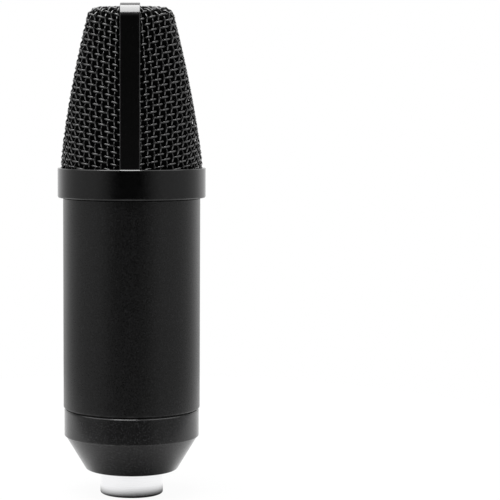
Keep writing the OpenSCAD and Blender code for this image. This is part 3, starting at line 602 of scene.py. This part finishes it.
# %% Strap
STRAP_W, STRAP_T, STRAP_GAP = 6.3, 0.94, 0.05
STRAP_BACK_ROUND, STRAP_ROUND = 0.2, 0.16
STRAIGHT_STEPS, BEND_STEPS = 12, 24
middle = STRAP_GAP + STRAP_T / 2
strap_rows = [((FRONT_Y + middle, z), (1.0, 0.0)) for z in np.linspace(FOOT_Z, CORNER_Z, STRAIGHT_STEPS)]
for angle in np.radians(np.linspace(0, 90, BEND_STEPS)[1:]):
    n = (math.cos(angle), math.sin(angle))
    bend_y = FRONT_Y - CORNER_R + (CORNER_R + middle) * n[0]
    strap_rows.append(((bend_y, CORNER_Z + (CORNER_R + middle) * n[1]), n))
for y in np.linspace(FRONT_Y - CORNER_R, 0, STRAIGHT_STEPS)[1:-1]:
    strap_rows.append(((y, TOP_Z + middle), (0.0, 1.0)))
strap_path = []
for sign, rows in ((-1, strap_rows), (1, strap_rows[::-1])):
    for (y, z), (ny, nz) in rows:
        strap_path.append((np.array([0, sign * y, z]), np.array([1.0, 0, 0]), np.array([0, sign * ny, nz])))
half_w, half_t = STRAP_W / 2, STRAP_T / 2
strap_ring, strap_marks = round_corners([
    (half_w, -half_t, STRAP_BACK_ROUND), (half_w, half_t, STRAP_ROUND),
    (-half_w, half_t, STRAP_ROUND), (-half_w, -half_t, STRAP_BACK_ROUND),
])
strap_points, strap_faces = sweep([strap_path], [tuple(p) for p in strap_ring])
strap_edge = strap_marks * len(strap_path)
print("points of the strip:", len(strap_points))

# %% The strap's feet
LAP, LAP_END, LAP_IN = 0.06, 0.03, 0.6
lap_start, lap_stop, lap_low = COLLAR_R - COLLAR_EDGE, COLLAR_R - LAP_END, LAP_END - COLLAR_EDGE
lap_ring, lap_marks = round_corners(
    [
        (COLLAR_R - LAP_IN, 0, 0), (lap_start, 0, 0), (lap_stop, lap_low, 0),
        (lap_stop + LAP, lap_low, 0.01), (lap_start + LAP, LAP, 0.02), (COLLAR_R - LAP_IN, LAP, 0),
    ],
    steps=3,
)
for sign in (-1, 1):
    outwards, upwards = np.array([0, sign, 0.0]), np.array([0, 0, 1.0])
    bar = [(np.array([x, 0, FOOT_Z]), outwards, upwards) for x in (-half_w, half_w)]
    first = len(strap_points)
    points, faces = sweep([bar], [tuple(p) for p in lap_ring])
    strap_points += points
    strap_faces += [tuple(first + i for i in f) for f in faces]
    strap_edge += lap_marks * len(bar)
strap = make_piece(
    "strap_strip", strap_points, strap_faces, "head_and_chassis", edge=strap_edge,
)
use(strap, strap_coat)
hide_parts("grille_strap")

# %% [markdown]
# ## Woven wire
# Each half of the head is one sheet of plain weave, bent round and pressed over the top. Every wire is
# modelled: it passes over one crossing wire and under the next. A flat sheet that is wrapped on a tapering
# form can't keep level rows, so the rows drop towards the strap, and the upright wires close up near it.
# The sheet has its own coordinates, u round the half and v up it, and one function bends them into place.
# The wires that go round are a little thicker than the uprights and stay flat where they cross over them,
# so that each crossing shows a long highlight.

# %% The sheet
ACROSS, UP = 2.16, 1.941
WIRE_UP, WIRE_ROUND = 0.58, 0.6
CRIMP_UP, CRIMP_ROUND = 0.3, 0.36
SHEET_IN = max(CRIMP_UP + WIRE_UP / 2, CRIMP_ROUND + WIRE_ROUND / 2)
SHEET_CORNER = CORNER_R - SHEET_IN
FOOT_DEPTH = 4.5
SHEET_FOOT = FOOT_Z - FOOT_DEPTH
SHEET_REACH = (ROUND_R - SHEET_IN) * math.pi / 2
RIGHT_SLOPE, RIGHT_EASE = 0.185, 4
LEFT_BOW, LEFT_START = 0.0037, 2.5


def drop_right(u):
    """How far a row of the right half has dropped at a distance u from the middle of the face."""
    u = np.abs(u)
    return RIGHT_SLOPE * np.where(u < RIGHT_EASE, u * u / (2 * RIGHT_EASE), u - RIGHT_EASE / 2)


def drop_left(u):
    """The same for the left half, whose rows bow more evenly."""
    return LEFT_BOW * (np.abs(u) + LEFT_START) ** 2


RIGHT_SHEET, LEFT_SHEET = (drop_right, 5.7), (drop_left, 2.05)
print("half width of a sheet", round(SHEET_REACH, 2))

# %% Bending the sheet
TUCK_X = 0.9
NORMAL_STEP = 0.05


def bend(u, v, sheet):
    """The places of points (u, v) of a sheet, its (drop, gather), and whether it reaches there."""
    drop, gather = sheet
    up = SHEET_FOOT + v - drop(u)
    past = np.maximum(0, up - CORNER_Z)
    curl = np.minimum(past / SHEET_CORNER, math.pi / 2)
    pull = SHEET_IN + SHEET_CORNER * (1 - np.cos(curl))
    half = face_half(np.minimum(up, CORNER_Z)) - pull
    outline = half, ROUND_R - pull, np.maximum(EDGE_R - pull, LEAST_EDGE)
    spare = SHEET_REACH - sum(quarter(*outline)[:3])
    far = np.abs(u)
    x, y = outline_point(*outline, far - spare * (far / SHEET_REACH) ** gather)
    x = x - np.maximum(0, past - SHEET_CORNER * math.pi / 2)
    z = np.minimum(up, CORNER_Z) + SHEET_CORNER * np.sin(curl)
    return np.stack([x, np.sign(u) * y, z], axis=-1), (x > TUCK_X) & (up > SHEET_FOOT)


def outward(u, v, sheet):
    """The sheet's normals, from the places a short step either way."""
    across = bend(u + NORMAL_STEP, v, sheet)[0] - bend(u - NORMAL_STEP, v, sheet)[0]
    upwards = bend(u, v + NORMAL_STEP, sheet)[0] - bend(u, v - NORMAL_STEP, sheet)[0]
    normal = np.cross(across, upwards)
    return normal / np.linalg.norm(normal, axis=-1)[:, None]


# %% A wire
SHORTEST = 4


def wire_path(u, v, lift, sheet):
    """The longest stretch of a wire through the points (u, v), lifted off the sheet, as a path for sweep."""
    places, there = bend(u, v, sheet)
    ends = np.flatnonzero(np.diff(np.concatenate([[0], there.astype(int), [0]])))
    if len(ends) == 0:
        return None
    start, stop = max(zip(ends[::2], ends[1::2]), key=lambda run: run[1] - run[0])
    if stop - start < SHORTEST:
        return None
    normals = outward(u, v, sheet)[start:stop]
    places = places[start:stop] + normals * lift[start:stop, None]
    ahead = np.gradient(places, axis=0)
    side = np.cross(ahead, normals)
    side /= np.linalg.norm(side, axis=1)[:, None]
    over = np.cross(side, ahead)
    over /= np.linalg.norm(over, axis=1)[:, None]
    return list(zip(places, side, over))


# %% The wires of a half
STEPS, WIRE_SIDES = 6, 8
FLAT_CROWN = 2.4
END_CLEAR = 0.1


def woven_half(sheet, shift_u, shift_v):
    """All the wires of a half that faces +X, as points and faces."""
    sheet_h = CORNER_Z - SHEET_FOOT + SHEET_CORNER * math.pi / 2 + TOP_X + float(sheet[0](SHEET_REACH))
    uprights, rounds = [], []
    v = np.arange(0, sheet_h, UP / STEPS)
    for i in range(-int(SHEET_REACH / ACROSS) - 1, int(SHEET_REACH / ACROSS) + 2):
        u = (i + shift_u) * ACROSS
        if abs(u) < SHEET_REACH:
            lift = CRIMP_UP * np.cos(math.pi * (v / UP - shift_v + i))
            uprights.append(wire_path(np.full_like(v, u), v, lift, sheet))
    u = np.arange(-SHEET_REACH + END_CLEAR, SHEET_REACH - END_CLEAR, ACROSS / STEPS)
    for j in range(int(sheet_h / UP) + 1):
        wave = np.cos(math.pi * (u / ACROSS - shift_u + j))
        lift = -CRIMP_ROUND * np.tanh(FLAT_CROWN * wave) / math.tanh(FLAT_CROWN)
        rounds.append(wire_path(u, np.full_like(u, (j + shift_v) * UP), lift, sheet))
    points, faces = [], []
    turns = np.arange(WIRE_SIDES) * 2 * math.pi / WIRE_SIDES
    for paths, wire in ((uprights, WIRE_UP), (rounds, WIRE_ROUND)):
        ring = [(wire / 2 * math.cos(a), wire / 2 * math.sin(a)) for a in turns]
        more, sides = sweep([path for path in paths if path], ring)
        faces += [tuple(len(points) + i for i in side) for side in sides]
        points += more
    print("wires in a half:", len(uprights) + len(rounds), "faces:", len(faces))
    return np.array(points), faces


# %% The two halves of the grille
WIRE_SHARP = 60
for name, side, node, sheet, shift in (
    ("grille_weave_right", 1, "grille_right", RIGHT_SHEET, (0.313, 0.036)),
    ("grille_weave_left", -1, "grille_left", LEFT_SHEET, (0.063, 0.154)),
):
    weave_points, weave_faces = woven_half(sheet, *shift)
    weave = make_piece(
        name, weave_points * [side, 1, 1], weave_faces, "head_and_chassis", sharp=WIRE_SHARP,
    )
    use(weave, wire_coat)
    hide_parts(node)

# %% [markdown]
# ## Foam liner
# Behind the woven wire lie a fine screen and a foam dome, which keep breath off the capsule. The foam is a
# soft piece, so it is built again here as a lofted dome with a slightly uneven skin.

# %% The foam's outlines
FOAM_IN, FOAM_T, FOAM_CLEAR = 2.3, 2.5, 0.15
LEAST_CORNER = 0.8
FOAM_SIDE_ROWS, FOAM_BEND_ROWS, FOAM_TOP_SHARES = 24, 7, (0.3, 0.6, 0.9)
foam_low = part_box("foam_liner")[0].z / MM


def dome_rows(inset):
    """Outlines of the basket at an inset, from its foot to the middle of its top, as (outline, height)."""
    corner = max(CORNER_R - inset, LEAST_CORNER)
    top = TOP_Z - inset
    rows = [
        ((face_half(z) - inset, ROUND_R - inset, max(EDGE_R - inset, LEAST_EDGE)), z)
        for z in np.linspace(foam_low, top - corner, FOAM_SIDE_ROWS)
    ]
    angles = np.radians(np.linspace(0, 90, FOAM_BEND_ROWS)[1:])
    pulls = [(corner * (1 - math.cos(a)), corner * (1 - math.sin(a))) for a in angles]
    pulls += [(corner + (TOP_X - inset - corner) * share, 0) for share in FOAM_TOP_SHARES]
    for pull, lower in pulls:
        edge = max(EDGE_R - inset - pull, LEAST_EDGE)
        rows.append(((TOP_X - inset - pull, ROUND_R - inset - pull, edge), top - lower))
    return rows


outer, inner = dome_rows(FOAM_IN + FOAM_CLEAR), dome_rows(FOAM_IN + FOAM_T)
print("outlines of the foam:", len(outer), "outside,", len(inner), "inside")

# %% Foam liner
QUARTER = 20
AROUND = 4 * QUARTER
UNEVEN = 0.004
shares = np.concatenate([np.arange(QUARTER), np.arange(QUARTER, 0, -1)] * 2) / QUARTER
sign_x = np.repeat([1, -1, -1, 1], QUARTER)
sign_y = np.repeat([1, 1, -1, -1], QUARTER)
foam_points, foam_faces = [], []
for outline, z in outer + inner:
    x, y = outline_point(*outline, shares * sum(quarter(*outline)[:3]))
    turn = np.arctan2(y * sign_y, x * sign_x)
    swell = 1 + UNEVEN * np.sin(5 * turn + z) * np.sin(3 * turn - 0.7 * z)
    foam_points += list(zip(x * sign_x * swell, y * sign_y * swell, np.full(AROUND, z)))
count = len(outer)
for shell in (0, count):
    for k in range(count - 1):
        for i in range(AROUND):
            j = (i + 1) % AROUND
            low, high = (shell + k) * AROUND, (shell + k + 1) * AROUND
            foam_faces.append((low + i, low + j, high + j, high + i))
    top_ring = (shell + count - 1) * AROUND
    foam_faces.append(tuple(top_ring + i for i in range(AROUND)))
for i in range(AROUND):
    j = (i + 1) % AROUND
    foam_faces.append((i, j, count * AROUND + j, count * AROUND + i))
foam = make_piece("foam_dome", foam_points, foam_faces, "head_and_chassis")
use(foam, foam_black)
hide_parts("foam_liner")
print("faces of the foam:", len(foam_faces))

# %% [markdown]
# ## Connector
# The bright shell is a short turned tube with a rounded rim and a recess for the plug's latch. Inside it are
# the insulating insert and the three pins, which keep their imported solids.

# %% Connector shell
SHELL_R, SOCKET_R, INSERT_R, SHELL_FLANGE_R = 10.25, 8.0, 8.8, 12.0
SOCKET_DEPTH, BASE_TOP = 15.5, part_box("base_plate")[1].z / MM
shell_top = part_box("connector_shell")[1].z / MM
shell = lathe(
    "connector_tube",
    [
        (SOCKET_R, 0, 0.3),
        (SHELL_R, 0, 0.6),
        (SHELL_R, BASE_TOP, 0),
        (SHELL_FLANGE_R, BASE_TOP, 0.2),
        (SHELL_FLANGE_R, shell_top, 0.2),
        (INSERT_R, shell_top, 0.1),
        (INSERT_R, SOCKET_DEPTH, 0),
        (SOCKET_R, SOCKET_DEPTH, 0),
    ],
    "head_and_chassis", turns=128,
)
LATCH_W, LATCH_LOW, LATCH_HIGH, LATCH_Y = 5.0, 4.0, 8.0, 8.8
latch = [(x, y, z) for z in (LATCH_LOW, LATCH_HIGH) for x, y in (
    (-LATCH_W / 2, 0), (LATCH_W / 2, 0), (LATCH_W / 2, LATCH_Y), (-LATCH_W / 2, LATCH_Y),
)]
cut(shell, latch, [(3, 2, 1, 0), (4, 5, 6, 7), (0, 1, 5, 4), (1, 2, 6, 5), (2, 3, 7, 6), (3, 0, 4, 7)])
use(shell, bright_plate)
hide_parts("connector_shell")
print("connector shell length", round(shell_top, 2))

# %% [markdown]
# ## The pieces inside
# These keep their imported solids, and each takes the finish of its material.

# %% Finishes of the inside
inside = {
    screen_black: ["inner_screen"],
    cast_grey: ["retaining_ring", "top_plate", "left_rail", "right_rail", "base_plate"],
    plated_steel: [
        "head_screws", "rail_screws", "pedestal_screws", "clamp_screws", "board_screws", "shell_set_screws",
    ],
    rubber_black: ["rubber_isolator"],
    moulded_black: [
        "capsule_pedestal", "capsule_insulator", "diaphragm_spacer", "connector_insert", "transistors",
    ],
    turned_brass: ["capsule_housing", "backplate", "diaphragm_clamp"],
    gold_film: ["diaphragm"],
    lead_black: ["capsule_leads", "connector_leads"],
    board_green: ["circuit_board"],
    sleeve_blue: ["electrolytic_capacitors"],
    dipped_red: ["film_capacitors"],
    lacquer_tan: ["resistors"],
    gold_plate: ["contact_pin_1", "contact_pin_2", "contact_pin_3"],
}
for material, names in inside.items():
    for name in names:
        use(nodes[name], material)
print("solids with a finish:", sum(len(names) for names in inside.values()))

# %% [markdown]
# ## Table
# The microphone stands on a white table, which is white to the camera and keeps a soft shadow. Polished
# surfaces see the table too: white, but for a painted shadow close round the foot, and a painted sheen that
# grows stronger at a flat angle. That painted shadow is a ramp over the distance from the foot. From below
# the table is clear to the camera, so that the connector can be looked at.

# %% Table
TABLE_R, TABLE_Y, TABLE_SIDES = 0.17, 0.09, 96
bpy.ops.mesh.primitive_circle_add(
    vertices=TABLE_SIDES, radius=TABLE_R, fill_type="NGON", location=(0, TABLE_Y, 0),
)
table = bpy.context.object
table.name = "table"
table_white, tree, surface = new_material(
    "table_white", Base_Color=grey(0.85), Roughness=0.7, Specular_IOR_Level=0.2,
)
light_path = tree.nodes.new("ShaderNodeLightPath")
geometry = tree.nodes.new("ShaderNodeNewGeometry")
use(table, table_white)
print("table", 2 * TABLE_R, "m across")


# %% What polished surfaces see of it
def grey_ramp(tree, value, levels):
    """A ramp of greys through (position, level) pairs."""
    node = tree.nodes.new("ShaderNodeValToRGB")
    stops = node.color_ramp.elements
    stops[0].position, stops[0].color = levels[0][0], grey(levels[0][1])
    stops[1].position, stops[1].color = levels[-1][0], grey(levels[-1][1])
    for position, level in levels[1:-1]:
        stops.new(position).color = grey(level)
    tree.links.new(value, node.inputs[0])
    return node.outputs[0]


# Painted shadow and painted sheen: what reflections see of the table darkens towards the foot and brightens at
# a flat angle.
SHADE_AT, SHADE_REACH, PAINTED_FLOOR_MOST = (0.0015, -0.004, 0), 0.1, 1.09
SHADE_LEVELS = (
    (0.08, 0.015), (0.12, 0.11), (0.145, 0.29), (0.158, 0.4), (0.174, 0.5), (0.205, 0.68), (0.235, 0.84),
    (0.265, 1.0), (1.0, 1.0),
)
away = vector_node(tree, "DISTANCE", geometry.outputs["Position"], SHADE_AT)["Value"]
shade = grey_ramp(tree, map_range(tree, away, 0.0, SHADE_REACH, 0.0, 1.0), SHADE_LEVELS)
facing = tree.nodes.new("ShaderNodeLayerWeight").outputs["Facing"]
painted_sheen = map_range(tree, facing, 0.0, 0.6, 0.5, 1.35)
painted_shade_and_sheen = math_node(tree, "MINIMUM", math_node(tree, "MULTIPLY", shade, painted_sheen), PAINTED_FLOOR_MOST)
print("steps of the table's shade:", len(SHADE_LEVELS))

# %% The table's shader
SHARE_SEEN = 0.94
seen = light_path.outputs["Is Camera Ray"]
mirrored = math_node(
    tree, "MAXIMUM", light_path.outputs["Is Glossy Ray"], light_path.outputs["Is Transmission Ray"],
)
glow = tree.nodes.new("ShaderNodeEmission")
share = math_node(tree, "MAXIMUM", mirrored, math_node(tree, "MULTIPLY", seen, SHARE_SEEN))
from_under = math_node(tree, "MULTIPLY", geometry.outputs["Backfacing"], seen)
clear = tree.nodes.new("ShaderNodeBsdfTransparent")
blend, open_under = tree.nodes.new("ShaderNodeMixShader"), tree.nodes.new("ShaderNodeMixShader")
# Reflections see the painted shadow and sheen, and the camera sees the table nearly plain white.
link_nodes(
    tree,
    (mix_colors(tree, mirrored, WHITE, painted_shade_and_sheen), glow.inputs["Color"]),
    (share, blend.inputs[0]),
    (surface.outputs[0], blend.inputs[1]),
    (glow.outputs[0], blend.inputs[2]),
    (from_under, open_under.inputs[0]),
    (blend.outputs[0], open_under.inputs[1]),
    (clear.outputs[0], open_under.inputs[2]),
    (open_under.outputs[0], tree.nodes["Material Output"].inputs["Surface"]),
)
print("nodes of the table:", len(tree.nodes))

# %% [markdown]
# ## Room and light
# The front of the barrel is black in the picture and its flanks are grey, so the room is dark on the
# camera's side and white behind. Its walls darken towards the top, and the ceiling is lit, more so to the two
# sides. A long soft box hangs overhead, in front and a little to the left. To the camera the room is plain
# white.

# %% Walls
DARK_TURN = math.radians(2.5)
WALL_LEVELS = (
    (0.0, 0.008), (0.02, 0.015), (0.05, 0.1), (0.09, 0.25), (0.146, 0.38), (0.213, 0.46), (0.55, 0.5),
    (0.71, 0.62), (0.8, 0.78), (0.87, 1.0), (1.0, 1.0),
)
world = bpy.data.worlds.new("room")
scene.world = world
world.use_nodes = True
tree = world.node_tree
direction = tree.nodes.new("ShaderNodeTexCoord").outputs["Generated"]
straight_back = (math.sin(DARK_TURN), math.cos(DARK_TURN), 0)
behind = vector_node(tree, "DOT_PRODUCT", direction, straight_back)["Value"]
walls = grey_ramp(tree, map_range(tree, behind, -1.0, 1.0, 0.0, 1.0), WALL_LEVELS)
parts = tree.nodes.new("ShaderNodeSeparateXYZ")
tree.links.new(direction, parts.inputs[0])
height = parts.outputs["Z"]
low_walls = map_range(tree, height, -0.12, -0.01, 0.75, 1.12)
high_walls = map_range(tree, height, 0.08, 0.35, 1.0, map_range(tree, behind, 0.4, 0.75, 0.35, 0.9))
lit_walls = math_node(tree, "MULTIPLY", walls, math_node(tree, "MULTIPLY", low_walls, high_walls))
print("steps of the walls:", len(WALL_LEVELS))

# %% Ceiling and ground
aside = math_node(tree, "ABSOLUTE", parts.outputs["X"], 0.0)
bounce = map_range(tree, aside, 0.1, 0.4, 0.9, 2.0)
rise = math_node(tree, "ADD", height, map_range(tree, aside, 0.3, 0.7, 0.0, 0.16))
ceiling = math_node(tree, "MULTIPLY", bounce, map_range(tree, rise, 0.7, 0.85, 0.0, 1.0))
ground = math_node(
    tree, "ADD",
    map_range(tree, height, -0.2, -0.05, 0.2, 0.0), map_range(tree, height, -0.5, -0.3, 0.8, 0.0),
)
room_level = math_node(tree, "MAXIMUM", math_node(tree, "MAXIMUM", lit_walls, ceiling), ground)
camera_ray = tree.nodes.new("ShaderNodeLightPath").outputs["Is Camera Ray"]
room_color = mix_colors(tree, camera_ray, room_level, WHITE)
tree.links.new(room_color, tree.nodes["Background"].inputs["Color"])
print("nodes of the room:", len(tree.nodes))

# %% Overhead soft box
LAMP_W, LAMP_L, LAMP_POWER, LAMP_AT = 0.48, 0.96, 6.8, (-0.12, -0.235, 0.85)
lamp = bpy.data.lights.new("overhead", "AREA")
lamp.shape = "RECTANGLE"
lamp.size, lamp.size_y = LAMP_W, LAMP_L
lamp.energy = LAMP_POWER
overhead = bpy.data.objects.new("overhead", lamp)
overhead.location = LAMP_AT
scene.collection.objects.link(overhead)
print("soft box", LAMP_W, "x", LAMP_L, "m at", LAMP_AT)
